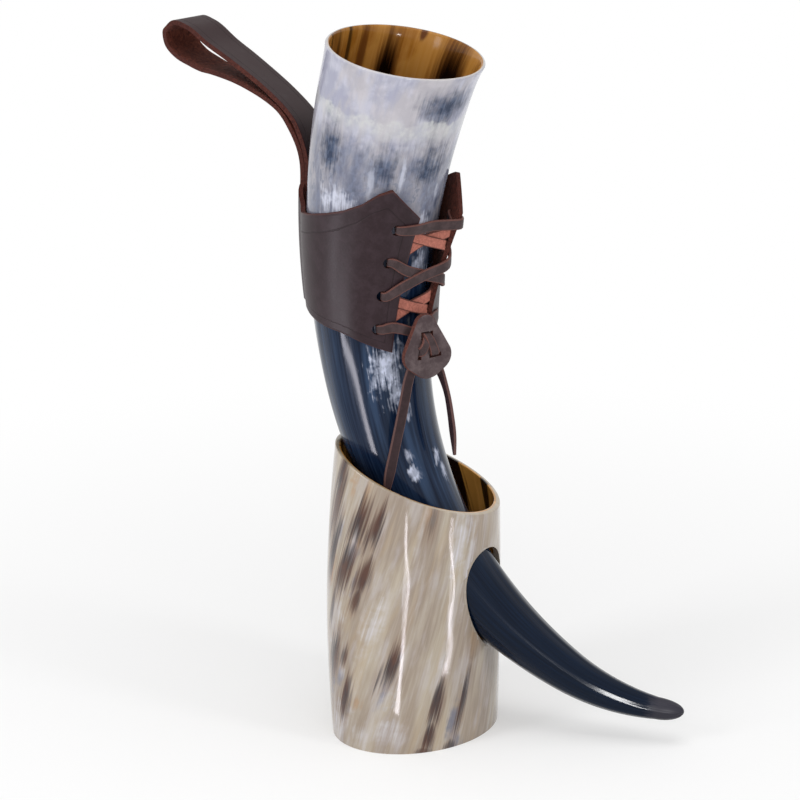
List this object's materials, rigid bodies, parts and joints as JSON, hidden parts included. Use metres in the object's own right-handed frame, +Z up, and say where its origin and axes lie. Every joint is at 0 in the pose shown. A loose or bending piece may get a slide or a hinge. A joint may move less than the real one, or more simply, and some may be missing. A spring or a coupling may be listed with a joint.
{
  "type": "drinking horn",
  "caption": "Curved drinking horn in a laced leather holster with a belt loop, resting in an open oval horn stand with a slanted rim and a side hole for the tip.",
  "frame": {"origin": "middle of the whole set's footprint, on the table under the stand", "axes": "+Z up, +X toward the horn's tip in the plane of the bend, -Y toward the lacing's side"},
  "size_m": [0.2526, 0.102, 0.3327],
  "materials": {
    "horn_dark": "polished natural horn, pale and mottled at the mouth, blue-black toward the tip",
    "horn_pale": "polished natural horn, beige with brown flecks and pale streaks",
    "leather_dark": "satin dark brown grain, reddish brown flesh side and edges",
    "rivet_brass": "old brass",
    "leather_lace": "grey-brown grain, pinkish tan flesh side",
    "leather_grey": "grey-brown grain with reddish edges"
  },
  "bodies": {
    "stand": {"horn_stand": "horn_pale"},
    "horn": {"drinking_horn": "horn_dark"},
    "holster": {"holster": "leather_dark", "loop_rivets": "rivet_brass", "lace": "leather_lace", "lace_toggle": "leather_grey", "lace_tail_left": "leather_lace", "lace_tail_right": "leather_lace"}
  },
  "joints": [
    {"name": "horn_lift", "type": "hinge", "parent": "stand", "child": "horn", "pos_m": [0.18205, -0.0109, 0.20197], "axis": [0, 1, 0], "range_deg": [0, 50]},
    {"name": "sleeve_slip", "type": "hinge", "parent": "horn", "child": "holster", "pos_m": [0.32355, -0.0109, 0.22262], "axis": [0, -1, 0], "range_deg": [0, 2]}
  ]
}
